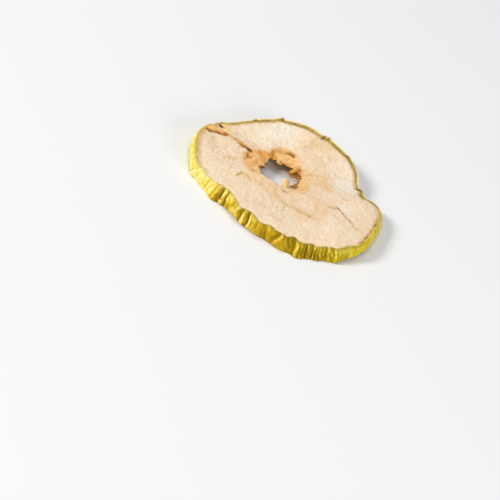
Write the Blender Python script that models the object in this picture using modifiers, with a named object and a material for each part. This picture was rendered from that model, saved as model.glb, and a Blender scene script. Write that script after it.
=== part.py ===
"""A dried ring of green apple with its peel on, lying on its underside. Metres, +Z up.

The slice is first turned as a flat ring, the way it was cut. It is then shaped the way it dried:
the rim rises and falls, the peel puckers, the flesh thins, and the core sinks and tears.
The origin is the middle of the ring's box, on the surface that it lies on.
"""

import math

import bpy
from mathutils import Vector, noise

MM = 0.001

# The cut slice before drying. Only its proportions matter, because every point is moved after it.
BLANK_RIM_RADIUS = 32 * MM
BLANK_HOLE_RADIUS = 7 * MM
BLANK_HEIGHT = 5 * MM
TURN_STEPS = 400
# Shares of the way from hole to peel at which the faces have points, closest at core and rim.
TOP_SHARES = (0, 0.03, 0.08, 0.13, 0.18, 0.22, 0.25, 0.27, 0.29, 0.33, 0.38, 0.44, 0.5)
TOP_SHARES += (0.56, 0.62, 0.68, 0.74, 0.8, 0.85, 0.89, 0.92, 0.945, 0.965, 0.98, 0.99)
UNDER_SHARES = (0, 0.06, 0.12, 0.19, 0.25, 0.33, 0.42, 0.51, 0.6, 0.69, 0.77, 0.84, 0.9, 0.94, 0.97)
PEEL_STEPS = 7
HOLE_WALL_STEPS = 3
CORE_SHARE = 0.25

# The middle of the finished ring's box, so that the box is centred on the origin.
BOX_MIDDLE = Vector((0.1 * MM, 1.6 * MM))

# The rim, seen from above: angle, and radius of the peel's top edge.
RIM_RADII = (
    (0, 31.2 * MM),
    (12, 33.3 * MM),
    (21, 34.5 * MM),
    (28, 33.9 * MM),
    (35, 31.2 * MM),
    (41, 29.8 * MM),
    (47, 30.6 * MM),
    (53, 32.1 * MM),
    (62, 33.5 * MM),
    (74, 33.4 * MM),
    (90, 33.4 * MM),
    (101, 33.3 * MM),
    (110, 33.0 * MM),
    (122, 32.1 * MM),
    (133, 31.2 * MM),
    (145, 30.8 * MM),
    (157, 31.4 * MM),
    (166, 32.3 * MM),
    (176, 33.2 * MM),
    (186, 33.4 * MM),
    (198, 33.0 * MM),
    (212, 32.9 * MM),
    (219, 31.7 * MM),
    (226, 30.4 * MM),
    (234, 28.3 * MM),
    (242, 28.6 * MM),
    (250, 29.8 * MM),
    (258, 29.1 * MM),
    (268, 30.4 * MM),
    (280, 30.3 * MM),
    (290, 29.9 * MM),
    (303, 30.1 * MM),
    (316, 31.0 * MM),
    (334, 31.6 * MM),
    (347, 31.1 * MM),
)
# The same edge from the side: angle and height. The far side humps up, and the ring stands on the low places.
RIM_HEIGHTS = (
    (0, 4.8 * MM),
    (20, 4.6 * MM),
    (39, 4.1 * MM),
    (60, 6.4 * MM),
    (75, 7.8 * MM),
    (90, 8.4 * MM),
    (105, 7.6 * MM),
    (120, 6.2 * MM),
    (135, 4.8 * MM),
    (150, 4.2 * MM),
    (165, 5.0 * MM),
    (180, 5.4 * MM),
    (200, 5.1 * MM),
    (226, 4.2 * MM),
    (250, 5.1 * MM),
    (270, 4.9 * MM),
    (290, 4.4 * MM),
    (310, 4.2 * MM),
    (330, 4.9 * MM),
    (345, 5.1 * MM),
)
# How far the peel leans out from its top edge to its foot: angle and lean.
PEEL_LEANS = (
    (0, 1.7 * MM),
    (28, 1.6 * MM),
    (50, 0.9 * MM),
    (90, 0.5 * MM),
    (140, 0.5 * MM),
    (190, 0.3 * MM),
    (216, 0.3 * MM),
    (226, 1.0 * MM),
    (235, 2.4 * MM),
    (243, 1.2 * MM),
    (256, 1.0 * MM),
    (270, 0.5 * MM),
    (282, 0.9 * MM),
    (293, 1.9 * MM),
    (310, 1.4 * MM),
    (335, 1.5 * MM),
)
# Short folds that step the peel in or out: angle, step, and reach along the rim.
PEEL_FOLDS = (
    (41, 0.6 * MM, 1.0 * MM),
    (66, 0.4 * MM, 1.0 * MM),
    (82, 0.6 * MM, 1.0 * MM),
    (112, 0.7 * MM, 1.1 * MM),
    (166, -0.7 * MM, 1.0 * MM),
    (213, 0.5 * MM, 1.2 * MM),
    (251, 0.4 * MM, 1.2 * MM),
    (286, 0.6 * MM, 1.3 * MM),
    (296, 0.5 * MM, 1.0 * MM),
)
PEEL_DEPTH = 4.4 * MM
PEEL_BULGE = 0.35 * MM
PEEL_EDGE_ROUND = 0.4 * MM
PUCKERS = 66
PUCKER_DEPTH = 1.0 * MM
PUCKER_WANDER = 1.6
PUCKER_SLANT = 1.1

# The hole that the seed chambers left: its middle, then angle and radius round that middle.
HOLE_MIDDLE = Vector((-3.6 * MM, 1.8 * MM))
HOLE_RADII = (
    (0, 6.9 * MM),
    (30, 7.8 * MM),
    (52, 8.4 * MM),
    (80, 6.3 * MM),
    (100, 6.4 * MM),
    (122, 8.0 * MM),
    (150, 7.2 * MM),
    (195, 7.1 * MM),
    (228, 8.4 * MM),
    (255, 7.2 * MM),
    (300, 6.8 * MM),
)
# Torn tongues of seed chamber that reach into the hole: angle, reach, half width, lift.
HOLE_TONGUES = (
    (44, 3.4 * MM, 1.9 * MM, 0.6 * MM),
    (303, 2.8 * MM, 1.3 * MM, 0.9 * MM),
)
HOLE_RAG = 0.5 * MM
HOLE_RAG_LENGTH = 1.4 * MM
HOLE_EDGE_THICKNESS = 1.3 * MM

# The tough core round the hole, a step lower than the flesh: angle and reach round the hole's middle.
CORE_REACHES = (
    (0, 7.9 * MM),
    (31, 9.0 * MM),
    (62, 10.6 * MM),
    (84, 13.6 * MM),
    (104, 14.2 * MM),
    (122, 11.2 * MM),
    (142, 10.6 * MM),
    (168, 12.0 * MM),
    (197, 12.2 * MM),
    (220, 10.4 * MM),
    (245, 8.6 * MM),
    (300, 8.2 * MM),
)
CORE_SINK = 0.7 * MM
CORE_LUMP = 0.4 * MM
CORE_LUMP_LENGTH = 2.6 * MM

# The flesh between core and peel.
MIDDLE_HEIGHT = 4.8 * MM
RIM_RISE_POWER = 1.6
FLESH_THICKNESS = 3.2 * MM
FLESH_WAVE = 0.35 * MM
FLESH_WAVE_LENGTH = 8 * MM
LIP_RISE = 0.3 * MM
LIP_WIDTH = 0.7 * MM
LIP_GROOVE = 0.25 * MM
LIP_GROOVE_AT = 1.9 * MM
UNDER_FLESH_ENDS = 0.8
UNDER_RIM_STARTS = 0.95
UNDER_PLEATS = 23
UNDER_PLEAT_DEPTH = 0.35 * MM

# The split that runs from the core to the rim, and the slit where it opens.
SPLIT_ROUTE = (
    Vector((-15.4 * MM, 4.0 * MM)),
    Vector((-19.0 * MM, 4.5 * MM)),
    Vector((-22.0 * MM, 5.1 * MM)),
    Vector((-25.6 * MM, 6.5 * MM)),
    Vector((-28.6 * MM, 8.2 * MM)),
)
SPLIT_DEPTH = 0.8 * MM
SPLIT_WIDTH = 0.8 * MM
SLIT_ROUTE = (Vector((-17.0 * MM, 4.2 * MM)), Vector((-20.4 * MM, 4.7 * MM)))
SLIT_DEPTH = 1.4 * MM
SLIT_WIDTH = 0.7 * MM
# The browned fold of flesh at the rim, and the crease along its inner side.
FOLD_ROUTE = (
    Vector((-30.6 * MM, 3.9 * MM)),
    Vector((-28.6 * MM, 5.0 * MM)),
    Vector((-26.9 * MM, 5.6 * MM)),
)
FOLD_RISE = 0.6 * MM
FOLD_WIDTH = 1.4 * MM
CREASE_ROUTE = (
    Vector((-31.6 * MM, 1.5 * MM)),
    Vector((-29.4 * MM, 2.7 * MM)),
    Vector((-26.6 * MM, 3.7 * MM)),
)
CREASE_DEPTH = 0.6 * MM
CREASE_WIDTH = 0.7 * MM

SOLID_TRIANGLES = 11400


def clear_scene():
    for old in list(bpy.data.objects):
        bpy.data.objects.remove(old)


def make_material(name, colour, roughness):
    material = bpy.data.materials.new(name)
    material.use_nodes = True
    surface = material.node_tree.nodes["Principled BSDF"]
    surface.inputs["Base Color"].default_value = (*colour, 1.0)
    surface.inputs["Roughness"].default_value = roughness
    surface.inputs["Metallic"].default_value = 0.0
    material.diffuse_color = (*colour, 1.0)
    return material


def smooth_step(low, high, value):
    share = min(1.0, max(0.0, (value - low) / (high - low)))
    return share * share * (3 - 2 * share)


def bump(distance, width):
    return math.exp(-((distance / width) ** 2))


def angle_between(first, second):
    return (first - second + 180) % 360 - 180


def heading(degrees):
    return Vector((math.cos(math.radians(degrees)), math.sin(math.radians(degrees))))


def round_the_ring(stations, degrees):
    """The stations' value at this angle, on a smooth closed curve through them."""
    count = len(stations)
    degrees %= 360
    after = next((i for i in range(count) if stations[i][0] > degrees), 0)
    (a0, before), (a1, left), (a2, right), (a3, beyond) = (
        stations[(after + offset) % count] for offset in (-2, -1, 0, 1)
    )
    gap = (a2 - a1) % 360
    share = ((degrees - a1) % 360) / gap
    leave = gap * (right - before) / (gap + (a1 - a0) % 360)
    arrive = gap * (beyond - left) / (gap + (a3 - a2) % 360)
    settle = 2 * (left - right) + leave + arrive
    turn = 3 * (right - left) - 2 * leave - arrive
    return left + share * (leave + share * (turn + share * settle))


def distance_to_route(point, route):
    """How far a point of the plan lies from a route, and how far along the route, from 0 to 1."""
    nearest = (math.inf, 0.0)
    for leg, (start, end) in enumerate(zip(route, route[1:])):
        run = end - start
        share = min(1.0, max(0.0, (point - start).dot(run) / run.length_squared))
        away = (point - start - share * run).length
        nearest = min(nearest, (away, (leg + share) / (len(route) - 1)))
    return nearest


def rim_radius(degrees):
    radius = round_the_ring(RIM_RADII, degrees)
    for fold_angle, step, reach in PEEL_FOLDS:
        radius += step * bump(math.radians(angle_between(degrees, fold_angle)) * radius, reach)
    return radius


def pucker(degrees, share):
    """How far the puckers push the peel out: rounded ridges between sharp creases."""
    around = heading(degrees)
    wander = noise.noise(Vector((3 * around.x, 3 * around.y, 0.4 * share)))
    phase = PUCKERS * math.radians(degrees) + PUCKER_WANDER * (math.tau * wander) + PUCKER_SLANT * share
    size = 0.7 + 0.9 * noise.noise(Vector((7 * around.x, 7 * around.y, 5 + share)))
    return PUCKER_DEPTH * size * (abs(math.sin(phase / 2)) ** 0.7 - 0.8)


def peel_out(degrees, share):
    """How far the peel stands outside its top edge, at a share of its height from foot to top."""
    lean = round_the_ring(PEEL_LEANS, degrees) * (1 - share)
    belly = math.sin(math.pi * share)
    edge = PEEL_EDGE_ROUND * abs(2 * share - 1) ** 6
    return lean + PEEL_BULGE * belly - edge + pucker(degrees, share) * (0.4 + 0.6 * belly)


def tongue_share(degrees, tongue):
    """1 along the middle of a torn tongue, falling to 0 beside it."""
    tongue_angle, _, half_width, _ = tongue
    return bump(math.radians(angle_between(degrees, tongue_angle)) * BLANK_HOLE_RADIUS, half_width)


def hole_radius(degrees, share):
    """The hole's radius at a share of its wall's height, with its ragged edge and torn tongues."""
    around = heading(degrees) * BLANK_HOLE_RADIUS / HOLE_RAG_LENGTH
    radius = round_the_ring(HOLE_RADII, degrees)
    radius += HOLE_RAG * noise.noise(Vector((around.x, around.y, 0.8 * share)))
    for tongue in HOLE_TONGUES:
        radius -= tongue[1] * tongue_share(degrees, tongue)
    return radius


def top_relief(plan):
    """What the split and the browned fold add to the height of the top face."""
    away, along = distance_to_route(plan, SPLIT_ROUTE)
    height = -SPLIT_DEPTH * bump(away, SPLIT_WIDTH) * (1 - 0.6 * along)
    height -= SLIT_DEPTH * bump(distance_to_route(plan, SLIT_ROUTE)[0], SLIT_WIDTH)
    height += FOLD_RISE * bump(distance_to_route(plan, FOLD_ROUTE)[0], FOLD_WIDTH)
    height -= CREASE_DEPTH * bump(distance_to_route(plan, CREASE_ROUTE)[0], CREASE_WIDTH)
    wave = noise.noise(Vector((plan.x, plan.y, FLESH_WAVE_LENGTH)) / FLESH_WAVE_LENGTH)
    return height + FLESH_WAVE * wave


def plan_point(degrees, out, up):
    """Where a point lies seen from above, and how far it is from the peel."""
    direction = heading(degrees)
    hole = HOLE_MIDDLE + direction * hole_radius(degrees, up)
    core = HOLE_MIDDLE + direction * round_the_ring(CORE_REACHES, degrees)
    peel = direction * (rim_radius(degrees) + peel_out(degrees, up))
    if out < CORE_SHARE:
        plan = hole.lerp(core, out / CORE_SHARE)
    else:
        plan = core.lerp(peel, (out - CORE_SHARE) / (1 - CORE_SHARE))
    return plan, (peel - plan).length


def dried_point(degrees, out, up):
    """Where a point of the cut slice ends up: out is 0 at the hole and 1 at the peel, up is 0 underneath."""
    plan, to_peel = plan_point(degrees, out, up)
    rim_height = round_the_ring(RIM_HEIGHTS, degrees)
    sheet = MIDDLE_HEIGHT + (rim_height - MIDDLE_HEIGHT) * out**RIM_RISE_POWER
    core = 1 - smooth_step(CORE_SHARE - 0.005, CORE_SHARE + 0.03, out)
    lumps = noise.noise(Vector((plan.x, plan.y, 0)) / CORE_LUMP_LENGTH)
    sheet += core * (CORE_LUMP * lumps - CORE_SINK)
    for tongue in HOLE_TONGUES:
        sheet += tongue[3] * tongue_share(degrees, tongue) * (1 - smooth_step(0, 0.2, out))

    lip = bump(to_peel, LIP_WIDTH)
    top = sheet + LIP_RISE * lip - LIP_GROOVE * bump(to_peel - LIP_GROOVE_AT, LIP_WIDTH)
    top += top_relief(plan) * (1 - lip)

    thickness = HOLE_EDGE_THICKNESS
    thickness += (FLESH_THICKNESS - HOLE_EDGE_THICKNESS) * smooth_step(0.0, 0.4, out)
    pleats = math.sin(UNDER_PLEATS * math.radians(degrees) + 3 * math.sin(math.radians(3 * degrees)))
    flesh_under = sheet - thickness + UNDER_PLEAT_DEPTH * pleats * smooth_step(0.1, 0.6, out)
    at_rim = smooth_step(UNDER_FLESH_ENDS, UNDER_RIM_STARTS, out)
    under = flesh_under + (rim_height - PEEL_DEPTH - flesh_under) * at_rim
    return Vector((*(plan - BOX_MIDDLE), max(0.0, under + (top - under) * up)))


def blank_profile():
    """The closed outline of the cut slice's section, from the hole over the top, down the peel and back."""
    outline = [(out, 1) for out in TOP_SHARES]
    outline += [(1, 1 - step / PEEL_STEPS) for step in range(PEEL_STEPS + 1)]
    outline += [(out, 0) for out in reversed(UNDER_SHARES)]
    outline += [(0, step / HOLE_WALL_STEPS) for step in range(1, HOLE_WALL_STEPS)]
    width = BLANK_RIM_RADIUS - BLANK_HOLE_RADIUS
    return [(BLANK_HOLE_RADIUS + out * width, 0, up * BLANK_HEIGHT) for out, up in outline]


def turned_blank(collection):
    """The cut slice: the section turned about Z."""
    points = blank_profile()
    edges = [(i, (i + 1) % len(points)) for i in range(len(points))]
    mesh = bpy.data.meshes.new("cut_slice")
    mesh.from_pydata(points, edges, [])
    blank = bpy.data.objects.new("cut_slice", mesh)
    collection.objects.link(blank)
    turn = blank.modifiers.new("turn", "SCREW")
    turn.axis = "Z"
    turn.angle = math.tau
    turn.steps = turn.render_steps = TURN_STEPS
    turn.use_merge_vertices = True
    turn.merge_threshold = 0.00001
    return blank


def applied(before, name, collection):
    """A plain mesh object of what the modifiers make, in place of the object before."""
    bpy.context.view_layer.update()
    evaluated = before.evaluated_get(bpy.context.evaluated_depsgraph_get())
    after = bpy.data.objects.new(name, bpy.data.meshes.new_from_object(evaluated))
    collection.objects.link(after)
    bpy.data.objects.remove(before)
    return after


def dry(ring):
    """Moves every point of the cut slice to where it dried."""
    width = BLANK_RIM_RADIUS - BLANK_HOLE_RADIUS
    for vertex in ring.data.vertices:
        x, y, z = vertex.co
        out = min(1.0, max(0.0, (math.hypot(x, y) - BLANK_HOLE_RADIUS) / width))
        vertex.co = dried_point(math.degrees(math.atan2(y, x)), out, z / BLANK_HEIGHT)


def paint(ring, flesh, peel):
    """Gives the steep faces of the outer wall the peel's material, and the rest the flesh's."""
    ring.data.materials.append(flesh)
    ring.data.materials.append(peel)
    for face in ring.data.polygons:
        outside = Vector((face.center.x, face.center.y, 0)).normalized()
        far_out = math.hypot(face.center.x, face.center.y) > 0.8 * BLANK_RIM_RADIUS
        face.material_index = 1 if far_out and face.normal.dot(outside) > 0.6 else 0


def thin_out(ring):
    """Fewer triangles where the surface is smooth, so that the puckers keep theirs."""
    thin = ring.modifiers.new("thin_out", "DECIMATE")
    thin.ratio = SOLID_TRIANGLES / (2 * len(ring.data.polygons))
    thin.use_collapse_triangulate = True


def build():
    clear_scene()
    part = bpy.data.collections.new("dried_apple_ring")
    bpy.context.scene.collection.children.link(part)
    ring = applied(turned_blank(part), "apple_ring", part)
    dry(ring)
    flesh = make_material("apple_flesh", (0.86, 0.68, 0.45), 0.75)
    peel = make_material("apple_peel", (0.50, 0.42, 0.05), 0.45)
    paint(ring, flesh, peel)
    thin_out(ring)
    ring.data.shade_smooth()
    ring.data.set_sharp_from_angle(angle=math.radians(50))


build()
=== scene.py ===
import math
import random

import bmesh
import bpy
import numpy as np
from mathutils import Matrix, Vector, noise


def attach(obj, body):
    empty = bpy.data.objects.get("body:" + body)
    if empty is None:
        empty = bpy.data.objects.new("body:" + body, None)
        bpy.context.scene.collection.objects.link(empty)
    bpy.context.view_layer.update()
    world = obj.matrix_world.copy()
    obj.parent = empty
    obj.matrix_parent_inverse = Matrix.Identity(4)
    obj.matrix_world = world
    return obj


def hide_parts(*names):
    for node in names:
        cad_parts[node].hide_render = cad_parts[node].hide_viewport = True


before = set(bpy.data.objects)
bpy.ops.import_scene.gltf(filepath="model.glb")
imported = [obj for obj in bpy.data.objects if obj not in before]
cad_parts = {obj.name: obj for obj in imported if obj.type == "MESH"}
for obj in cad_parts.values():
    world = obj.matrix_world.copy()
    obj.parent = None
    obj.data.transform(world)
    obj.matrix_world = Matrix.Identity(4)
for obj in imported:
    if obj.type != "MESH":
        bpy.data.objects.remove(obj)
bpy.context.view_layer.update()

mm = 0.001
peelRadius = 31  # mm from the middle to the peel, about


# Shape helpers. They take arrays as well as single numbers, in mm and degrees.

def smoothStep(low, high, value):
    share = np.clip((value - low) / (high - low), 0.0, 1.0)
    return share * share * (3 - 2 * share)


def bump(distance, width):
    return np.exp(-((distance / width) ** 2))


def angleBetween(first, second):
    return (first - second + 180) % 360 - 180


def arcBetween(first, second):  # the mm along the peel from one angle to another
    return np.radians(angleBetween(first, second)) * peelRadius


def lumps(x, y, z, size, seed=0.0):  # smooth noise between about -1 and 1, one lump about every size mm
    points = zip((x / size + 7.3 * seed).tolist(), (y / size - 3.1 * seed).tolist(), (z / size + seed).tolist())
    return np.array([noise.noise(point) for point in points])


def roundLumps(degrees, height, size, seed, radius=peelRadius):  # the same noise on a wall round the ring
    return lumps(radius * np.cos(np.radians(degrees)), radius * np.sin(np.radians(degrees)), height, size, seed)


def ringCurve(table, degrees):  # a smooth closed curve through the stations of one of the tables in ring
    angles, values = np.array(ring[table], float).T
    count = len(angles)
    degrees = np.asarray(degrees, float) % 360
    after = np.searchsorted(angles, degrees, side="right")
    a0, a1, a2, a3 = (angles[(after + k) % count] for k in (-2, -1, 0, 1))
    before, left, right, beyond = (values[(after + k) % count] for k in (-2, -1, 0, 1))
    gap = (a2 - a1) % 360
    share = ((degrees - a1) % 360) / gap
    leave = gap * (right - before) / (gap + (a1 - a0) % 360)
    arrive = gap * (beyond - left) / (gap + (a3 - a2) % 360)
    turn = 3 * (right - left) - 2 * leave - arrive
    settle = 2 * (left - right) + leave + arrive
    return left + share * (leave + share * (turn + share * settle))


def toRoute(x, y, route):  # how far each place is from a route in plan
    nearest = np.full(x.shape, 1e9)
    for (ax, ay), (bx, by) in zip(route, route[1:]):
        dx, dy = bx - ax, by - ay
        share = np.clip(((x - ax) * dx + (y - ay) * dy) / (dx * dx + dy * dy), 0.0, 1.0)
        nearest = np.minimum(nearest, np.hypot(x - ax - share * dx, y - ay - share * dy))
    return nearest


# The ring. Angles run from its right side, anticlockwise from above, and tables hold (angle, value) stations.

ring = {
    "boxMiddle": (0.1, 1.6),  # puts the ring over the middle of its box
    "turnSteps": 720,  # faces round the ring
    "sectionCuts": (17, 53, 13, 21, 6, 15, 4),  # cuts in each side of the flat slice

    # The rim and the two edges of the peel, in mm.
    "rimRadii": [
        (0, 32.5), (5, 32.75), (8, 33.05), (12, 33.5), (16, 34), (21, 34.4), (27, 34), (30.3, 33.1), (31.6, 32),
        (32.6, 30.6), (34, 30), (36, 29.7), (39, 30.1), (41, 29.9), (43, 29.9), (45.4, 30), (48, 30.6), (53, 32.1),
        (62, 33.5), (74, 33.4), (90, 33.4), (101, 33.3), (110, 33), (122, 32.1), (133, 31.2), (145, 30.8),
        (157, 31.4), (166, 32.3), (176, 33.2), (186, 33.4), (198, 33), (206, 33.1), (212, 33.2), (214.5, 32.9),
        (216.5, 31.8), (221, 31.6), (224, 31), (228, 29.3), (232, 28.1), (236, 27.2), (239, 27.3), (244, 27.9),
        (248, 29), (252, 30.1), (254, 30), (257, 29.1), (260, 28.8), (264, 29.3), (268, 30.3), (270, 29.9),
        (273, 29.2), (276, 29.3), (281, 30), (286, 30.3), (288.5, 29.5), (291, 29.2), (294, 30.4), (296.5, 30.7),
        (302, 30.2), (307, 30.9), (312, 30.6), (318, 31.5), (321, 31.8), (328, 31.6), (332, 32.3), (336, 32.6),
        (340, 32.6), (347, 32.45), (353, 32.4)],
    "rimHeights": [
        (0, 4.8), (20, 4.6), (39, 4.1), (60, 6.4), (75, 7.8), (90, 8.4), (105, 7.6), (120, 6.2), (135, 4.8),
        (150, 4.2), (165, 5), (180, 5.4), (200, 5.1), (226, 4.2), (250, 5.1), (270, 4.9), (290, 4.4), (310, 4.2),
        (330, 4.9), (345, 5.1)],
    "peelLeans": [  # how far the foot stands out
        (0, 1.05), (8, 1.5), (28, 1.6), (50, 0.9), (90, 0.5), (140, 0.5), (190, 0.3), (212, 0.3), (216.5, 0.8),
        (221, 0.2), (225, 0.6), (228, 1.7), (231, 2.9), (235, 4), (238, 2.8), (242, 1.7), (246, 0.9), (249, 0.2),
        (252, -0.2), (255, 0.6), (258, 2), (261, 1.6), (264, 1.3), (268, 0.5), (272, 1.1), (280, 1.3), (286, 1.7),
        (289, 2.5), (292, 3.1), (295, 2.6), (300, 2.1), (308, 1.5), (316, 1.3), (320, 1.6), (327, 1.3), (334, 0.4),
        (340, 0.3), (347, 0.7), (354, 0.7)],
    "peelFolds": [  # angle, step, reach before and after it
        (40.6, 0.6, 0.9, 0.1), (41.5, -1, 0.12, 1), (66, 0.4, 1, 0.8), (82, 0.6, 1.4, 0.3), (85, -0.9, 0.4, 4.5),
        (112, 0.9, 0.3, 2), (130, 0.4, 0.4, 1.2), (158, 0.4, 0.7, 0.7), (166, -0.7, 1, 1)],
    "peelDepth": 4.4,
    "peelThickness": 0.55,

    # The flesh: a sheet that rises to the rim and sinks in the core.
    "middleHeight": 4.8,
    "rimRisePower": 1.6,  # 1 is a straight rise
    "fleshThickness": 3.2,
    "fleshWave": 0.35,  # broad waves of the top face
    "fleshWrinkle": 0.13,  # fine ones
    "fleshPleat": 0.06,  # pleats out from the core
    "markWander": 0.45,  # how far the marks stray from their routes
    "underPleats": 23,  # pleats round the underside
    "pleatDepth": 0.35,
    "underLump": 0.2,
    "lipRises": [  # how far the peel stands up over the flesh
        (0, 0.2), (45, 0.2), (130, 0.2), (155, 0.1), (205, 0), (240, 0.1), (300, 0.12)],
    "lipGrooves": [  # how deep the groove beside it is
        (0, 0.3), (25, 0.35), (45, 0.4), (75, 0.5), (110, 0.45), (135, 0.35), (155, 0.15), (175, 0.05), (210, 0),
        (240, 0.08), (300, 0.12), (340, 0.2)],
    "edgeWave": 0.28,  # waves of the near edge

    # The hole and the core.
    "holeMiddle": (-3.6, 1.8),
    "holeRadii": [
        (1, 7.1), (15, 7.3), (33, 7.9), (43, 8.4), (52, 8.7), (63, 8.8), (71, 8.5), (79, 7.9), (86, 7.4), (92, 7.3),
        (101, 7.8), (109, 8.4), (117, 8.2), (122, 8.5), (127, 8.7), (134, 8.2), (144, 7.2), (152, 6.7), (161, 6.7),
        (170, 6), (176, 5.9), (183, 6.6), (191, 7.2), (199, 7.6), (208, 7.8), (219, 7.8), (230, 8.3), (238, 8.1),
        (245, 7.6), (253, 6.9), (259, 6.6), (264, 7.1), (271, 7.2), (280, 7.1), (288, 6.6), (297, 6.4), (306, 6.2),
        (316, 6), (327, 5.9), (339, 6.6), (350, 7)],
    "holeRag": 0.22,  # how ragged its edge is
    "holeFineRag": 0.15,
    "holeEdges": [  # how thick the flesh is there
        (0, 1.5), (25, 1.2), (45, 0.7), (80, 0.5), (120, 0.5), (150, 0.8), (190, 1.3), (335, 1.5)],
    "wallSlopes": [  # how far the hole widens to its foot
        (0, 2), (22, 0.9), (45, -0.1), (80, -0.4), (130, -0.3), (170, 0.2), (250, 0.1), (300, 0.4), (335, 1.7)],
    "coreReaches": [  # from the middle of the hole to the border of the core
        (0, 8.2), (29, 8.8), (47, 9.6), (62, 10.5), (76, 11.6), (84, 13.7), (93, 14.4), (104, 14.3), (114, 12.8),
        (122, 11), (131, 10.2), (145, 11), (161, 12.2), (176, 12.4), (197, 12.4), (208, 11.5), (218, 10.9),
        (228, 9.4), (240, 8.9), (255, 7.9), (271, 8), (290, 7.5), (305, 7.4), (320, 8), (335, 8.4)],
    "coreSinks": [
        (0, 0.25), (35, 0.45), (60, 0.6), (90, 0.65), (150, 0.65), (185, 0.5), (207, 0.2), (228, 0), (300, 0),
        (335, 0.1)],
    "deepestSink": 0.65,
    "coreLump": 0.22,  # where the core sinks deepest
    "coreTints": [
        (0, 0.7), (60, 0.9), (90, 1), (180, 1), (215, 0.9), (236, 0.35), (270, 0.3), (300, 0.4), (335, 0.6)],

    # The relief of the peel.
    "peelBulge": 0.35,  # at half height
    "peelEdgeRound": 0.3,
    "peelStand": 0.35,  # past the rim
    "edgeRag": 0.4,  # how ragged its near edge is
    "creaseScale": 1.05,
    "creaseWander": 1.3,  # degrees
    "lumpDepth": 0.2,
    "grainDepth": 0.14,
    "ridgeDepth": 0.3,
    "fineDepth": 0.36,
    "hairDepth": 0.12,
    "peelNoises": [  # size, draw up the peel, slant and seed of these five
        (1.4, 1.4, 0, 1), (0.6, 1.2, 0, 2), (2.3, 1.8, -4, 16), (1.1, 1.4, 2.5, 13), (0.62, 1.2, -3.5, 18)],
    "peelRoughness": [
        (0, 1), (15, 1), (60, 0.8), (150, 0.5), (170, 0.45), (195, 0.6), (210, 0.8), (226, 1), (250, 1.1), (262, 0.9),
        (270, 0.6), (284, 0.5), (292, 0.9), (300, 1.1), (330, 1), (345, 0.9)],
    "fineCreases": [
        (0, 1), (18, 0.9), (90, 0.6), (180, 0.5), (215, 0.8), (250, 0.8), (272, 0.5), (286, 0.25), (300, 0.9),
        (328, 0.8), (345, 0.8)],

    # The colours of the peel.
    "peelTones": [  # from olive to pale yellow: the peel's own tone, with painted light on the left and right ends and painted shade on the near middle
        (0, 0.92), (10, 0.9), (30, 0.65), (90, 0.65), (150, 0.8), (180, 0.92), (197, 0.76), (206, 0.84), (213, 0.95),
        (220, 0.97), (226, 0.8), (231, 0.7), (237, 0.43), (244, 0.5), (250, 0.66), (255, 0.53), (262, 0.48),
        (270, 0.42), (277, 0.32), (286, 0.32), (291, 0.12), (297, 0.33), (303, 0.29), (309, 0.45), (316, 0.38),
        (330, 0.58), (340, 0.66), (348, 0.82)],
    "peelFades": [  # from foot to top
        (0, 0.1), (180, -0.2), (200, -0.2), (225, 0), (288, 0), (300, 0.15), (312, 0.3), (325, 0.4), (345, 0.2)],
    "warmth": [  # towards orange
        (0, 0.4), (30, 0.3), (150, 0), (205, 0), (222, 0), (234, 0.4), (250, 0.7), (278, 1), (290, 0.6), (302, 0.4),
        (320, 0.1), (340, 0.3)],
    "green": [  # towards lime
        (0, 1.9), (16, 1.5), (30, 0.8), (90, 0.2), (180, 0.25), (225, 0.3), (240, 0.35), (280, 0.3), (305, 0.5),
        (320, 0.9), (333, 2), (345, 2.1)],
    "topShades": [  # how dark the top edge is
        (0, 0.25), (10, 0.2), (25, 0.3), (45, 0), (140, 0), (155, 0.6), (185, 0.9), (212, 0.7), (222, 0.4),
        (240, 0.6), (262, 0.7), (285, 0.8), (310, 0.7), (330, 0.95), (342, 0.7), (350, 0.35)],
    "paleEdge": [  # how lit it is
        (0, 0), (16, 0), (24, 0.5), (31, 0.7), (35, 0.25), (40.5, 0.2), (42, 0.7), (50, 0.8), (60, 0.35), (70, 0.6),
        (84, 0.8), (95, 0.5), (105, 0.8), (150, 0.7), (175, 0.4), (195, 0), (330, 0), (350, 0)],

    # Painted shade beside the peel: the dark line along its edge, and a brown band in the flesh.
    "darkLines": [  # how dark its painted shade is
        (0, 0.2), (10, 0.25), (21, 0.5), (29, 0.9), (38, 1.1), (46, 0.9), (56, 0.8), (73, 1.1), (84, 0.4), (95, 0.8),
        (105, 0.85), (115, 0.4), (125, 0.8), (135, 0.4), (145, 0.55), (155, 0.4), (180, 0.3), (215, 0.2), (240, 0.4),
        (262, 0.6), (285, 0.85), (310, 0.9), (330, 0.8), (345, 0.3)],
    "darkReaches": [  # how wide, in mm
        (0, 0.62), (24, 0.75), (31, 1), (36, 1.15), (41, 0.9), (46, 0.75), (53, 1.1), (90, 1.3), (140, 1.2), (165, 1),
        (200, 0.95), (340, 0.65)],
    "borderShade": [  # how strong the brown painted shade in the flesh beside the peel is
        (0, 0.45), (30, 0.5), (38, 0.9), (60, 0.6), (130, 0.6), (150, 0.85), (165, 0.9), (200, 0.9), (210, 0.75),
        (217, 0.3), (228, 0), (250, 0), (320, 0.1), (340, 0.35)],
}

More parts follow.
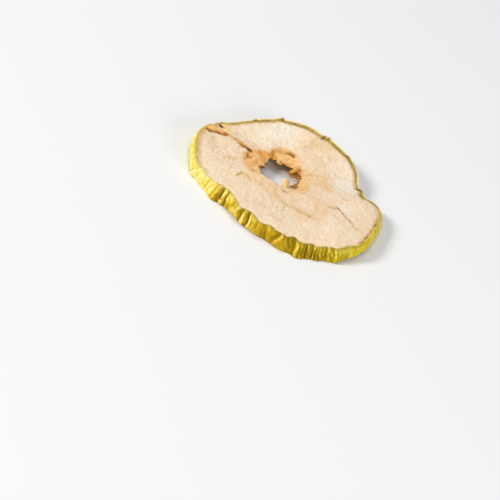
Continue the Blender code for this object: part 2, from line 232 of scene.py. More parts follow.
# Creases of the peel: angle at the top, angle at the foot, depth, reach to each side.
peelCreases = [
    (194, 192, 0.2, 0.8), (201, 199, 0.3, 0.8), (208, 207, 0.2, 0.6), (215.5, 211, 0.4, 0.5), (217, 216, 0.25, 0.7),
    (222, 221, 0.15, 0.5), (226.8, 225.3, 0.3, 0.6), (231, 232.5, 0.55, 0.7), (234.2, 238.2, 1.0, 0.9),
    (238, 242, 0.9, 0.7), (245, 244.9, 0.4, 0.6), (248, 247.5, 0.2, 0.4), (251.5, 250.6, 0.4, 0.7),
    (255, 255.8, 0.9, 0.7), (256.9, 259.1, 0.5, 0.5), (260, 260.6, 1.2, 0.7), (262.7, 263.8, 0.35, 0.5),
    (266.5, 268, 0.6, 0.5), (269.3, 271.4, 0.45, 0.7), (272.2, 274.4, 0.7, 0.8), (276, 275, 0.2, 0.5),
    (280.9, 278.1, 0.7, 0.8), (284.3, 287.9, 0.35, 0.5), (287.7, 289.4, 0.5, 0.8), (291.4, 291.3, 0.85, 0.8),
    (294.1, 295.5, 0.45, 0.5), (297, 297.5, 0.3, 0.4), (299.4, 299.6, 0.95, 0.55), (301.5, 301.5, 0.35, 0.3),
    (303.3, 303.5, 0.85, 0.5), (305.6, 306.4, 0.8, 0.45), (307.7, 309.1, 0.65, 0.4), (310.3, 311, 0.4, 0.35),
    (313, 314.4, 0.7, 0.4), (314.6, 317.5, 0.5, 0.3), (317.6, 318.8, 0.6, 0.5), (320.5, 321, 0.35, 0.35),
    (323, 323.5, 0.4, 0.4), (325.8, 326, 0.35, 0.4), (328.4, 328.8, 0.6, 0.5), (331.7, 335.3, 0.6, 0.35),
    (335.5, 337, 0.3, 0.5), (339, 341, 0.4, 0.7),
]
farCreases = {"from": 343, "to": 556, "gap": (1.6, 4.6), "slant": 1.5, "depth": (0.25, 0.75), "reach": (0.5, 1.0)}
sower = random.Random(11)
place = farCreases["from"]
while place < farCreases["to"]:
    foot = place + sower.uniform(-farCreases["slant"], farCreases["slant"])
    depth, reach = (sower.uniform(*farCreases[name]) for name in ("depth", "reach"))
    peelCreases.append((place % 360, foot % 360, depth, reach))
    place += sower.uniform(*farCreases["gap"])

# Marks in the top face, each a route in plan with its half width and strength; the relief is in mm.
marks = {
    "relief": [
        ([(-28.2, 8.6), (-25.6, 7.5), (-23, 6.7), (-20.6, 5.9), (-18.3, 5)], 0.45, -0.6),
        ([(-19.6, 4.9), (-17.7, 4.9), (-16.2, 4.9)], 0.42, -1.4),
        ([(-31.4, 3.9), (-30.2, 4.7), (-28.1, 5.2), (-26.1, 6)], 1, 0.6),
        ([(-32.4, 2.6), (-30.8, 2.3), (-29.8, 2.8), (-29, 3.7), (-27, 4), (-25.4, 5.4)], 0.4, -0.55),
        ([(-29.4, 10.2), (-28.5, 9.6)], 0.45, -0.9),
        ([(-16, 2.9), (-15.5, 0.9), (-15.9, -0.8)], 0.45, -0.35),
        ([(-14.4, 2.8), (-14, 2)], 0.4, -0.5),
        ([(-8.9, 11.3), (-8.4, 9.8), (-7.9, 8.8)], 0.45, -0.3),
        ([(-5.2, 16.1), (-4.2, 16.5), (-3.2, 16.5), (-2.5, 16)], 0.4, -0.5),
        ([(1.7, 8.9), (2.4, 8.2), (3.1, 6.8)], 0.4, -0.9),
        ([(0.6, -3), (1.6, -2.2), (2.6, -1.4), (3.4, -0.3)], 0.6, -0.4),
        ([(15.5, -1.1), (17.5, 0), (18.4, 1.5), (19.2, 0.8), (20.8, -0.3), (21.9, -1.2), (23.2, -1.9), (24.3, -2.9),
          (26.5, -4.6)], 0.3, -0.35),
        ([(-0.8, -10.5), (0.7, -11.7), (2.4, -12.6), (4.3, -12.7), (6.3, -12.1), (9.2, -11.9),
          (11.7, -11.6)], 0.7, -0.1),
        ([(-15.2, -12.2), (-14.2, -9.2), (-12.8, -9), (-11.4, -9.8), (-10, -11.2)], 0.4, -0.3),
        ([(2.6, 8), (5, 10.4), (7.5, 12.6)], 0.5, -0.2),
        ([(0.8, 28.2), (0.4, 25.3), (-1, 22.5)], 0.6, -0.2),
        ([(1.1, -6.1), (0.2, -6.8), (-0.4, -6)], 0.28, -0.3),
    ],
    "brown": [
        ([(-19.4, 4.8), (-17.8, 4.9), (-16.1, 5)], 0.7, 1.6),
        ([(-20.3, 4.6), (-19.4, 4.8)], 0.35, 1),
        ([(-25.3, 7), (-23.9, 6.3), (-22.3, 5.9)], 0.26, 0.6),
        ([(-22.3, 5.9), (-20.8, 5.6), (-19.3, 5.1)], 0.24, 0.3),
        ([(-32.7, 2.8), (-30.8, 2.3), (-29.8, 2.8), (-29, 3.7), (-28, 4.1), (-27, 4)], 0.4, 0.85),
        ([(-26.5, 4.4), (-25.9, 5), (-25.2, 5.8)], 0.35, 0.7),
        ([(-29.5, 10.3), (-28.9, 9.9), (-28.3, 9.5)], 0.5, 1.8),
        ([(-32.4, 6), (-31.4, 7.2)], 0.35, 0.7),
        ([(-25, 7.2), (-24.2, 6.8), (-22.4, 6.5)], 0.35, 0.6),
        ([(-16, 2.8), (-15.6, 1.6)], 0.4, 0.25),
        ([(-5.2, 16.1), (-4.2, 16.5), (-3.2, 16.5), (-2.5, 16)], 0.36, 0.9),
        ([(-10.5, 9), (-9.7, 9.9)], 0.22, 0.3),
        # The next two are painted shade: in the crevice beside the curled flap, and on brown staining along the
        # hole's near edge.
        ([(1.7, 8.9), (2.4, 8.2), (3.1, 6.8)], 0.42, 0.9),
        ([(0.9, -2.3), (1.8, -1.6), (2.6, -0.8), (3.2, 0.2)], 0.75, 0.85),
        ([(18.4, 1.5), (19.2, 0.8), (20.8, -0.3), (21.9, -1.2), (23.2, -1.9), (24.3, -2.9)], 0.26, 0.85),
        ([(24.3, -2.9), (25.3, -3.9), (26.5, -4.6), (27.6, -4.9)], 0.22, 0.4),
        ([(15.5, -1.1), (16.5, -0.7), (17.5, 0), (18.4, 1.5)], 0.24, 0.5),
        ([(7.8, -12.5), (8.4, -12.1)], 0.3, 0.25),
        ([(10.6, -12.4), (11.4, -11.8)], 0.3, 0.3),
        ([(11, -13.2), (11, -12.3)], 0.3, 0.3),
        ([(18.3, 8.1), (20.6, 9.4)], 0.22, 0.25),
        ([(1.1, -6.1), (0.2, -6.8), (-0.4, -6)], 0.27, 0.9),
        ([(2, -5.2), (1.1, -6.1)], 0.2, 0.35),
        ([(-12.2, -5), (-11.5, -4.8)], 0.4, 0.3),
        ([(-15, -11.2), (-14.2, -9.3), (-13.6, -9)], 0.22, 0.3),
        ([(-7.2, 9.3), (-6.4, 9.9), (-5.4, 9.7), (-4.5, 9.2), (-3.2, 9.2)], 0.25, 0.5),
        ([(32.2, 9.5), (32.1, 7)], 0.22, 0.55),
        ([(32, 5.3), (31.8, 2.5)], 0.27, 0.85),
        ([(31.5, -0.4), (31.2, -2.4)], 0.24, 0.7),
        ([(31.1, -3.6), (30.9, -5.2), (30.6, -7.4)], 0.27, 0.85),
        ([(30.2, -9.1), (29.5, -11.6)], 0.22, 0.65),
    ],
    "tan": [
        ([(-15.4, 4.6), (-18, 5.2), (-20.3, 6)], 1.25, 0.9),
        ([(-20.3, 6), (-23, 7), (-26, 7.4)], 0.75, 0.7),
        ([(-0.8, -10.5), (0.7, -11.7), (2.4, -12.6), (4.3, -12.7), (6.3, -12.1)], 1.1, 0.45),
        ([(6.3, -12.1), (7.8, -12.3), (9.2, -11.9), (11.7, -11.6)], 1.3, 0.7),
        ([(8.5, -14.5), (10.1, -15), (12.4, -12.9), (14.1, -11.3)], 0.9, 0.3),
        ([(-2.6, -7.6), (-1.5, -10.9)], 0.8, 0.35),
        ([(-15.3, -12.6), (-15, -11.2), (-14.2, -9.1), (-12.8, -8.9), (-11.5, -9.6)], 0.55, 0.85),
        ([(-12.2, -10.7), (-9.1, -10.2), (-7, -9.9)], 1.3, 0.2),
        ([(2.6, 8), (5, 10.4), (7.5, 12.6)], 0.45, 0.6),
        ([(4.3, 3.5), (5.5, 3), (6.8, 1.5)], 0.8, 0.5),
        ([(4, -0.5), (5.4, -2.5), (8.2, -0.9), (11.9, -0.4)], 0.5, 0.3),
        ([(10.1, 8.6), (11.2, 9), (13.3, 8.4)], 0.5, 0.5),
        ([(0.8, 28.6), (0.4, 25.3), (-1, 22.5)], 0.6, 0.4),
        ([(2.2, 27.5), (2.6, 26)], 0.7, 0.4),
        ([(15, -1.2), (18.6, 1), (21.5, -1), (24.7, -3.2), (28.5, -5)], 0.9, 0.35),
        ([(-20.3, -6), (-19.3, -5.2), (-18.4, -3.5)], 0.55, 0.45),
        ([(-23.8, -9.6), (-22, -9.4)], 0.45, 0.4),
        ([(-25.6, -10.2), (-24.9, -9.9)], 0.4, 0.4),
        ([(-16, -1.7), (-14.9, -2.7), (-13.7, -3.6), (-12.3, -5), (-10.8, -5.3), (-9.4, -5.2)], 0.5, 0.6),
        ([(-15, 5.8), (-13.3, 7.7), (-11.4, 9.2), (-9.6, 11.2), (-7.9, 15), (-5.7, 16), (-3, 16.3), (-1.2, 14.8),
          (0.6, 11.8)], 0.6, 0.5),
    ],
    "amber": [
        ([(-22.3, 6.4), (-20.7, 6), (-19.6, 5.8), (-18.6, 5.4)], 0.9, 0.9),
        ([(-32.7, 2.8), (-30.8, 2.3), (-29.8, 2.8), (-29, 3.7), (-28, 4.1), (-26.6, 4.2), (-25.4, 5.4)], 0.85, 0.75),
        ([(-29.8, 10.3), (-27.9, 9.2)], 0.8, 0.6),
        ([(32.1, 8), (31.9, 3), (31.5, -0.4), (31, -4.6), (30.4, -8.4), (29.5, -11.6)], 0.3, 0.5),
        ([(-16, 3), (-15.5, 1)], 0.6, 0.6),
        ([(-9.9, 12.6), (-9.1, 11.2), (-8.4, 9.8), (-8, 8.9)], 0.5, 0.7),
        ([(-5.9, 15.7), (-5.2, 16.1), (-4.2, 16.5), (-3.2, 16.5), (-2.3, 15.6)], 0.6, 0.6),
    ],
    "orange": [
        ([(-31.8, 3.6), (-30.2, 4.9), (-28.1, 5.6), (-25.6, 6.4)], 1.45, 1.2),
    ],
    "lemon": [
        ([(-28.5, 12.4), (-27.6, 12), (-26.8, 10.9)], 1.6, 1),
    ],
    "lime": [
        ([(32.4, 8), (32.4, 4.5), (32.1, 1.1), (31.8, -2.8), (31.3, -6.6), (30.5, -10), (29.4, -13.1)], 0.5, 0.95),
    ],
}
markColours = [name for name in marks if name != "relief"]

# Soft patches: place in plan, reach and strength. Warm ones are in the flesh, ember ones in the core.
warmPatches = [
    (-9.9, -8.9, 3.4, 0.5), (-4.1, -9.6, 3.2, 0.6), (-1.1, -11.1, 2.2, 0.7), (5.4, 2.5, 2, 1.1), (7.3, 9.2, 3.4, 0.9),
    (4.4, 0.7, 2, 0.9), (10.5, 12.5, 3.6, 0.6), (11.2, 9, 2.4, 0.7), (6.5, 19, 2.6, 0.4), (4, -8.5, 3.5, 0.4),
    (12.5, -3, 4.2, 0.5), (13.3, 8.4, 2.2, 0.4), (1.6, 27, 2.8, 0.7), (-0.3, 21, 3, 0.4), (6, 31, 3.6, 0.5),
    (10, 24, 3, 0.25), (-24, -2, 3, 0.2), (-16, 8, 3, 0.3), (-20.7, -6.5, 2.2, 0.35), (-18.1, -1.1, 2.4, 0.4),
    (8.5, -15, 2.5, 0.4), (14.1, -11.3, 2.6, 0.5), (15, -7, 2.4, 0.4), (-13.2, -12.5, 2.6, 0.4),
    (-10, 28.4, 4.5, -0.8), (-14.8, 18.5, 4.5, -0.7), (-9.5, 22.5, 4.5, -0.8), (-16.7, 12.2, 3, -0.3),
    (-1, 15.5, 2.4, 0.4), (17, 16.3, 4.5, -1.1), (13.1, 23.5, 4, -0.4), (20.3, 3.1, 3.6, -0.8), (18, -12, 4.5, -0.3),
    (-26.1, -10.5, 3, -0.3), (-23, -3.1, 2.5, -0.2), (-20.7, -15.3, 3.5, -0.2), (9.9, -19.9, 3.5, -0.2),
    (-28, -3, 2.4, 0.3), (-27, 9.8, 2, 0.5), (4.5, 33.4, 2, 0.5),
]
emberPatches = [
    (-10.3, 6.2, 2, 0.9), (-9, 9.8, 1.5, 1.1), (-15.7, 2, 1.4, 1), (-12.2, 8, 1.6, 0.5), (-12, -4.9, 1, 0.6),
    (-7.6, 15.2, 1.8, 0.1), (-3, 11, 1.4, 0.3), (0.4, 10.2, 1.5, 0.3), (-5, 13.2, 2.4, -0.9), (-1.6, 13.2, 1.6, -0.5),
    (-14.4, -1.2, 1.6, -0.7), (-13.8, 4.6, 1.1, -0.8), (-12, -2.6, 1.6, -0.3), (3.6, 3.6, 2, -0.8),
    (3.2, 7, 1.4, -0.9),
]

flatHole, flatWidth, flatHeight = 7, 25, 5  # the flat slice that is shaped, in mm
coreShare, rimShare, rimZone = 0.25, 0.85, 3.0  # shares of the way out, and mm of even loops by the peel

# Here out runs from 0 at the hole to 1 at the peel, up from 0 at the foot to 1 on top, and toPeel is in mm.

def creasesOf(degrees, up):  # how deep the peel is creased here, where painted shade darkens it and where a painted highlight lies on a ridge that catches the light
    degrees = degrees + ring["creaseWander"] * roundLumps(degrees, 4.4 * up, 2.6, 14)
    deep, dark, lit = (np.zeros(degrees.shape) for _ in range(3))
    for top, foot, depth, reach in peelCreases:
        past = arcBetween(degrees, foot + angleBetween(top, foot) * up)
        middle = 0.5 + 0.6 * math.sin(37 * top)  # the share of the height where this crease is deepest
        depth = depth if depth > 0.8 else depth * (1.1 - 0.75 * np.abs(up - middle))
        before = np.exp(np.minimum(past, 0) / (1.4 * reach))
        deep = np.maximum(deep, depth * np.where(past < 0, before, np.exp(-past / (0.5 * reach))))
        dark = np.maximum(dark, depth * np.where(past < 0, before ** 1.5, bump(past, 0.25)))
        catches = smoothStep(-0.2, 0.9, up + 0.5 * math.sin(9 * top))
        lit = np.maximum(lit, depth * bump(past - 0.9 * reach, 0.6 * reach) * catches)
    return deep, dark, lit


def rimOutline(degrees):  # the rim's radius with its folds, and how dark the painted shade at a fold is
    radius = ringCurve("rimRadii", degrees)
    foldDark = np.zeros(radius.shape)
    for foldAngle, step, before, after in ring["peelFolds"]:
        past = arcBetween(degrees, foldAngle)
        radius = radius + step * bump(past, np.where(past < 0, before, after))
        foldDark = np.maximum(foldDark, 0.9 * abs(step) * bump(past, 0.5))
    return radius, foldDark


def peelSurface(degrees, up, toPeel, nearSide):  # how far the peel stands out past the rim's radius, and its creases
    belly = np.sin(math.pi * up)
    fullness = 0.4 + 0.6 * belly
    deep, dark, lit = creasesOf(degrees, up)
    rough = ringCurve("peelRoughness", degrees)
    deep *= ring["creaseScale"] * rough * fullness * (0.5 + 0.5 * np.maximum(nearSide, belly))

    lump, grain, ridge, fine, hair = (roundLumps(degrees + slant * up, drawn * up, size, seed)
                                      for size, drawn, slant, seed in ring["peelNoises"])
    relief = ring["lumpDepth"] * lump + ring["grainDepth"] * grain
    relief -= ring["ridgeDepth"] * (np.abs(ridge) - 0.25)
    fine = ring["fineDepth"] * (1 - smoothStep(0, 0.3, np.abs(fine))) - 0.12
    fine *= ringCurve("fineCreases", degrees)
    hair = ring["hairDepth"] * (1 - smoothStep(0, 0.25, np.abs(hair)))
    relief = rough * (relief - fine * fullness + hair)

    stand = ringCurve("peelLeans", degrees) * (1 - up) + ring["peelBulge"] * belly
    stand -= ring["peelEdgeRound"] * np.abs(2 * up - 1) ** 6
    stand += (ring["peelStand"] - deep + relief * fullness) * bump(toPeel, 1.3)
    stand += ring["edgeRag"] * nearSide * roundLumps(degrees, np.zeros(up.shape), 1.5, 19, 30) * bump(up - 1, 0.3)
    return stand, relief, deep, dark, lit


def holeEdge(degrees, up):  # the hole's ragged radius
    radius = ringCurve("holeRadii", degrees)
    radius = radius + ring["holeRag"] * roundLumps(degrees, 1.1 * up, 1.4, 0, flatHole)
    radius += ring["holeFineRag"] * roundLumps(degrees, up, 0.5, 3, flatHole)
    radius -= ringCurve("wallSlopes", degrees) * (1 - up)
    return radius


def inPlan(degrees, out, rimRadius, holeRadius, toPeel):  # each point's place in plan: core, middle and rim zone
    x0, y0 = np.cos(np.radians(degrees)), np.sin(np.radians(degrees))
    coreReach = ringCurve("coreReaches", degrees)
    corePart = np.clip(out / coreShare, 0, 1)
    midPart = np.clip((out - coreShare) / (rimShare - coreShare), 0, 1)
    for i, along in enumerate((x0, y0)):
        hole, core = (ring["holeMiddle"][i] + along * reach for reach in (holeRadius, coreReach))
        inside = along * (rimRadius - rimZone)
        outer = np.where(out < rimShare, core + (inside - core) * midPart, along * (rimRadius - toPeel))
        yield np.where(out < coreShare, hole + (core - hole) * corePart, outer)


def reliefOf(degrees, out, x, y, wobbled):  # waves, wrinkles and marks of the top face, in mm
    flat = np.zeros(x.shape)
    relief = ring["fleshWave"] * lumps(x, y, flat + 8, 8)
    relief += ring["fleshWrinkle"] * (lumps(x, 0.6 * y, flat, 1.6, 5) + 0.6 * lumps(x, 0.6 * y, flat, 0.7, 6))
    relief += ring["fleshPleat"] * roundLumps(degrees, 6 * out, 1.0, 7, 12) * smoothStep(0.2, 0.45, out)
    for route, width, height in marks["relief"]:
        relief += height * bump(toRoute(*wobbled, route), width)
    return relief


def undersideOf(degrees, out, x, y, sheet, rimHeight, toPeel):  # it is pleated, and meets the peel's lower edge
    flat = np.zeros(x.shape)
    thickness = ringCurve("holeEdges", degrees)
    thickness = thickness + (ring["fleshThickness"] - thickness) * smoothStep(0.0, 0.4, out)
    around = np.radians(degrees)
    pleats = np.sin(ring["underPleats"] * around + 3 * np.sin(3 * around))
    wrinkles = ring["pleatDepth"] * pleats + ring["underLump"] * lumps(x, y, flat, 1.2, 10)
    under = sheet - thickness + wrinkles * smoothStep(0.1, 0.6, out)
    atRim = np.where(out > 0.5, 1 - smoothStep(0.5, 2.6, toPeel), 0.0)
    return under + (rimHeight - ring["peelDepth"] - under) * atRim


def shapeRing(degrees, out, up):  # where each point of the flat slice ends up, and what the materials need there
    flat = np.zeros(degrees.shape)
    rimPart = np.clip((out - rimShare) / (1 - rimShare), 0.0, 1.0)
    toPeel = rimZone * (1 - rimPart) ** 1.6
    nearSide = smoothStep(-0.2, 0.4, -np.sin(np.radians(degrees + 20)))  # 1 on the photo's side
    radius, foldDark = rimOutline(degrees)
    stand, peelRelief, deep, dark, lit = peelSurface(degrees, up, toPeel, nearSide)
    x, y = inPlan(degrees, out, radius + stand, holeEdge(degrees, up), toPeel)
    wobbled = [place + ring["markWander"] * lumps(x, y, flat, 1.2, seed) for place, seed in ((x, 8), (y, 9))]

    rimHeight = ringCurve("rimHeights", degrees)
    sheet = ring["middleHeight"] + (rimHeight - ring["middleHeight"]) * out ** ring["rimRisePower"]
    core = 1 - smoothStep(coreShare - 0.03, coreShare + 0.05, out)
    coreLumps = lumps(x, y, flat, 3.0, 0) + 0.25 * lumps(x, y, flat, 1.0, 4)
    sheet += core * ringCurve("coreSinks", degrees) * (ring["coreLump"] / ring["deepestSink"] * coreLumps - 1)

    step = 1 - smoothStep(0.30, 0.62, toPeel)
    groove = ringCurve("lipGrooves", degrees) * (1 + 0.7 * roundLumps(degrees, flat, 5.0, 12, 30))
    top = sheet + ringCurve("lipRises", degrees) * step - groove * (1 - step) * bump(toPeel - 0.6, 1.1)
    top += reliefOf(degrees, out, x, y, wobbled) * (1 - bump(toPeel, 0.8)) - 0.5 * deep * bump(toPeel, 0.7)
    top += ring["edgeWave"] * nearSide * roundLumps(degrees, flat, 1.3, 17, 30) * bump(toPeel, 0.6)
    under = undersideOf(degrees, out, x, y, sheet, rimHeight, toPeel)
    height = np.maximum(0.0, under + (top - under) * up)
    places = np.stack([x - ring["boxMiddle"][0], y - ring["boxMiddle"][1], height], axis=1) * mm

    coreTint = 1 - smoothStep(coreShare - 0.01, coreShare + 0.10, out + 0.05 * lumps(x, y, flat, 1.5, 15))
    layers = {
        # crease, line and fold hold painted shade, and relief also holds a painted highlight on the ridges, for the
        # peel's colour
        "up": up, "toPeel": toPeel, "nearSide": nearSide, "crease": dark,
        "core": coreTint * ringCurve("coreTints", degrees),
        "relief": 0.5 + peelRelief + 0.7 * lit - 0.4 * dark,
        "gap": toPeel / (2 * ringCurve("darkReaches", degrees)),
        "line": ringCurve("darkLines", degrees) + foldDark * (1 - nearSide),
        "fold": np.minimum(0.8, foldDark) * (1 - nearSide),
        "tone": ringCurve("peelTones", degrees) + ringCurve("peelFades", degrees) * (up - 0.55),
        "topShade": ringCurve("topShades", degrees) * (1 - 1.6 * np.clip(peelRelief, -0.1, 0.5)),
        "wall": np.where(out < 0.0001, 1 - smoothStep(0.7, 1.0, up), 0.0),
    }
    for name in ("borderShade", "green", "warmth", "paleEdge"):
        layers[name] = ringCurve(name, degrees)
    onTop = smoothStep(0.3, 0.8, up)
    for name in markColours:
        strength = np.zeros(x.shape)
        for route, width, most in marks[name]:
            strength = np.maximum(strength, most * bump(toRoute(*wobbled, route), width))
        layers[name] = strength * onTop
    for name, patches in (("warm", warmPatches), ("ember", emberPatches)):
        layers[name] = sum(most * bump(np.hypot(x - px, y - py), reach) for px, py, reach, most in patches)
    layers["warm"] = layers["warm"] + 0.25 * lumps(x, y, flat, 4.0, 11)
    return places, layers


def meshFrom(shape, name):
    mesh = bpy.data.meshes.new(name)
    shape.to_mesh(mesh)
    shape.free()
    return mesh


def toScene(name, data):  # a mesh, a light or a camera becomes an object of the scene
    made = bpy.data.objects.new(name, data)
    bpy.context.scene.collection.objects.link(made)
    return made


def makeRing():
    shape = bmesh.new()
    core, inside = (flatHole + flatWidth * share for share in (coreShare, rimShare))
    rim = flatHole + flatWidth
    corners = [(flatHole, flatHeight), (core, flatHeight), (inside, flatHeight), (rim, flatHeight),
               (rim, 0), (inside, 0), (flatHole, 0)]
    section = [shape.verts.new((radius * mm, 0, height * mm)) for radius, height in corners]
    sides = [shape.edges.new((section[i], section[(i + 1) % len(section)])) for i in range(len(section))]
    for side, count in zip(sides, ring["sectionCuts"]):
        bmesh.ops.subdivide_edges(shape, edges=[side], cuts=count)
    bmesh.ops.spin(shape, geom=shape.verts[:] + shape.edges[:], cent=(0, 0, 0), axis=(0, 0, 1),
                   angle=math.tau / 16, steps=ring["turnSteps"] // 16, use_duplicate=False)
    for turn in (16, 8, 4, 2):  # a sixteenth is spun, and then doubled four times
        copied = bmesh.ops.duplicate(shape, geom=shape.verts[:] + shape.edges[:] + shape.faces[:])["geom"]
        bmesh.ops.rotate(shape, verts=[part for part in copied if isinstance(part, bmesh.types.BMVert)],
                         cent=(0, 0, 0), matrix=Matrix.Rotation(math.tau / turn, 3, "Z"))
    bmesh.ops.remove_doubles(shape, verts=shape.verts[:], dist=1e-6)
    bmesh.ops.recalc_face_normals(shape, faces=shape.faces[:])
    mesh = meshFrom(shape, "appleRing")

    flat = np.empty(len(mesh.vertices) * 3, np.float32)
    mesh.vertices.foreach_get("co", flat)
    x, y, z = flat.reshape(-1, 3).astype(float).T / mm
    degrees = np.degrees(np.arctan2(y, x)) % 360
    out = np.clip((np.hypot(x, y) - flatHole) / flatWidth, 0, 1)
    places, layers = shapeRing(degrees, out, np.clip(z / flatHeight, 0, 1))
    mesh.vertices.foreach_set("co", places.astype(np.float32).ravel())
    for name, values in layers.items():
        mesh.attributes.new(name, "FLOAT", "POINT").data.foreach_set("value", values.astype(np.float32))
    loopPoints = np.empty(len(mesh.loops), np.int32)
    mesh.loops.foreach_get("vertex_index", loopPoints)
    depths = layers["toPeel"][loopPoints].reshape(-1, 4).mean(axis=1)
    mesh.polygons.foreach_set("material_index", (depths < ring["peelThickness"]).astype(np.int32))
    mesh.polygons.foreach_set("use_smooth", np.ones(len(depths), bool))
    mesh.update()
    return toScene("appleRing", mesh)


# Material helpers.

def newMaterial(name):
    material = bpy.data.materials.new(name)
    material.use_nodes = True
    return material, material.node_tree, material.node_tree.nodes["Principled BSDF"]


def plug(tree, value, socket):  # a number or a colour is set on the socket, anything else is linked to it
    if isinstance(value, tuple):
        socket.default_value = (*value, 1.0)
    elif isinstance(value, (int, float)):
        socket.default_value = value
    else:
        tree.links.new(value, socket)


def noiseNode(tree, vector, scale, detail=4.0, roughness=0.55):
    node = tree.nodes.new("ShaderNodeTexNoise")
    for name, value in (("Scale", scale), ("Detail", detail), ("Roughness", roughness), ("Vector", vector)):
        plug(tree, value, node.inputs[name])
    return node.outputs["Fac"]


def rampNode(tree, value, stops):
    node = tree.nodes.new("ShaderNodeValToRGB")
    while len(node.color_ramp.elements) < len(stops):
        node.color_ramp.elements.new(0.5)
    for element, (position, colour) in zip(node.color_ramp.elements, stops):
        element.position = position
        element.color = (*colour, 1.0) if isinstance(colour, tuple) else (colour, colour, colour, 1.0)
    tree.links.new(value, node.inputs["Fac"])
    return node.outputs["Color"]


def painted(tree, name):
    node = tree.nodes.new("ShaderNodeAttribute")
    node.attribute_name = name
    return node.outputs["Fac"]


def mathNode(tree, kind, *values, clamp=False):
    node = tree.nodes.new("ShaderNodeMath")
    node.operation, node.use_clamp = kind, clamp
    for socket, value in zip(node.inputs, values):
        plug(tree, value, socket)
    return node.outputs[0]


def plus(tree, first, second, clamp=False):
    return mathNode(tree, "ADD", first, second, clamp=clamp)


def minus(tree, first, second):
    return mathNode(tree, "SUBTRACT", first, second)


def times(tree, first, second, clamp=False):
    return mathNode(tree, "MULTIPLY", first, second, clamp=clamp)


def mixColour(tree, share, first, second, kind="MIX"):
    node = tree.nodes.new("ShaderNodeMix")
    node.data_type, node.blend_type = "RGBA", kind
    for socket, value in zip((node.inputs[0], node.inputs[6], node.inputs[7]), (share, first, second)):
        plug(tree, value, socket)
    return node.outputs[2]


def tinted(tree, colour, tint):
    return mixColour(tree, 1.0, colour, tint, "MULTIPLY")


def bumpNode(tree, height, distance, normal=None):
    node = tree.nodes.new("ShaderNodeBump")
    node.inputs["Distance"].default_value = distance
    tree.links.new(height, node.inputs["Height"])
    if normal is not None:
        tree.links.new(normal, node.inputs["Normal"])
    return node.outputs["Normal"]


def stretched(tree, vector, scale):
    node = tree.nodes.new("ShaderNodeMapping")
    node.inputs["Scale"].default_value = scale
    tree.links.new(vector, node.inputs["Vector"])
    return node.outputs["Vector"]


def dressSurface(tree, surface, look, colour, roughPattern, normal):  # the pattern moves between the two roughnesses
    smoothest, roughest = look["roughness"]
    rough = rampNode(tree, roughPattern, [(0.3, smoothest), (0.7, roughest)])
    for name, output in (("Base Color", colour), ("Roughness", rough), ("Normal", normal)):
        tree.links.new(output, surface.inputs[name])
    surface.inputs["Subsurface Weight"].default_value = look["softness"]
    surface.inputs["Subsurface Radius"].default_value = look["glowColour"]
    surface.inputs["Subsurface Scale"].default_value = look["glowReach"]
    surface.inputs["Specular IOR Level"].default_value = look["gloss"]


untinted = (1.0, 1.0, 1.0)
flesh = {
    "white": (0.87, 0.77, 0.635),
    "pale": (0.86, 0.695, 0.505),
    "cream": (0.83, 0.61, 0.395),
    "warm": (0.80, 0.54, 0.26),
    "coreDark": (0.58, 0.25, 0.045),
    "core": (0.75, 0.38, 0.12),
    "coreLight": (0.89, 0.56, 0.25),
    "tan": (0.66, 0.40, 0.12),
    "amber": (0.57, 0.245, 0.015),
    "orange": (0.89, 0.50, 0.17),
    "lemon": (0.90, 0.64, 0.24),
    "lime": (0.74, 0.59, 0.07),
    "brown": (0.19, 0.065, 0.005),
    "wall": (0.40, 0.15, 0.02),
    # The next three are painted: a brown shade beside the peel, a pale highlight on its near edge and the shadow in
    # the gap along it.
    "borderShade": (0.65, 0.40, 0.155),
    "edgeHighlight": (0.88, 0.72, 0.40),
    "gap": (0.31, 0.205, 0.045),
    "hairline": (0.74, 0.62, 0.46),
    "cellDark": (0.76, 0.67, 0.55),
    "cellPale": (0.975, 0.96, 0.94),
    "speck": (0.86, 0.82, 0.76),
    "draw": (1, 0.62, 1),  # the grain is drawn out along y
    "grainScale": 1500,
    "speckScale": 3600,
    "patchScale": 620,
    "crackScale": 300,
    "crackedScale": 190,  # where there are cracks at all
    "grainBump": 0.00022,
    "speckBump": 0.00008,
    "roughness": (0.66, 0.84),
    "softness": 0.15,
    "glowColour": (1.0, 0.55, 0.25),
    "glowReach": 0.0012,
    "gloss": 0.25,
}


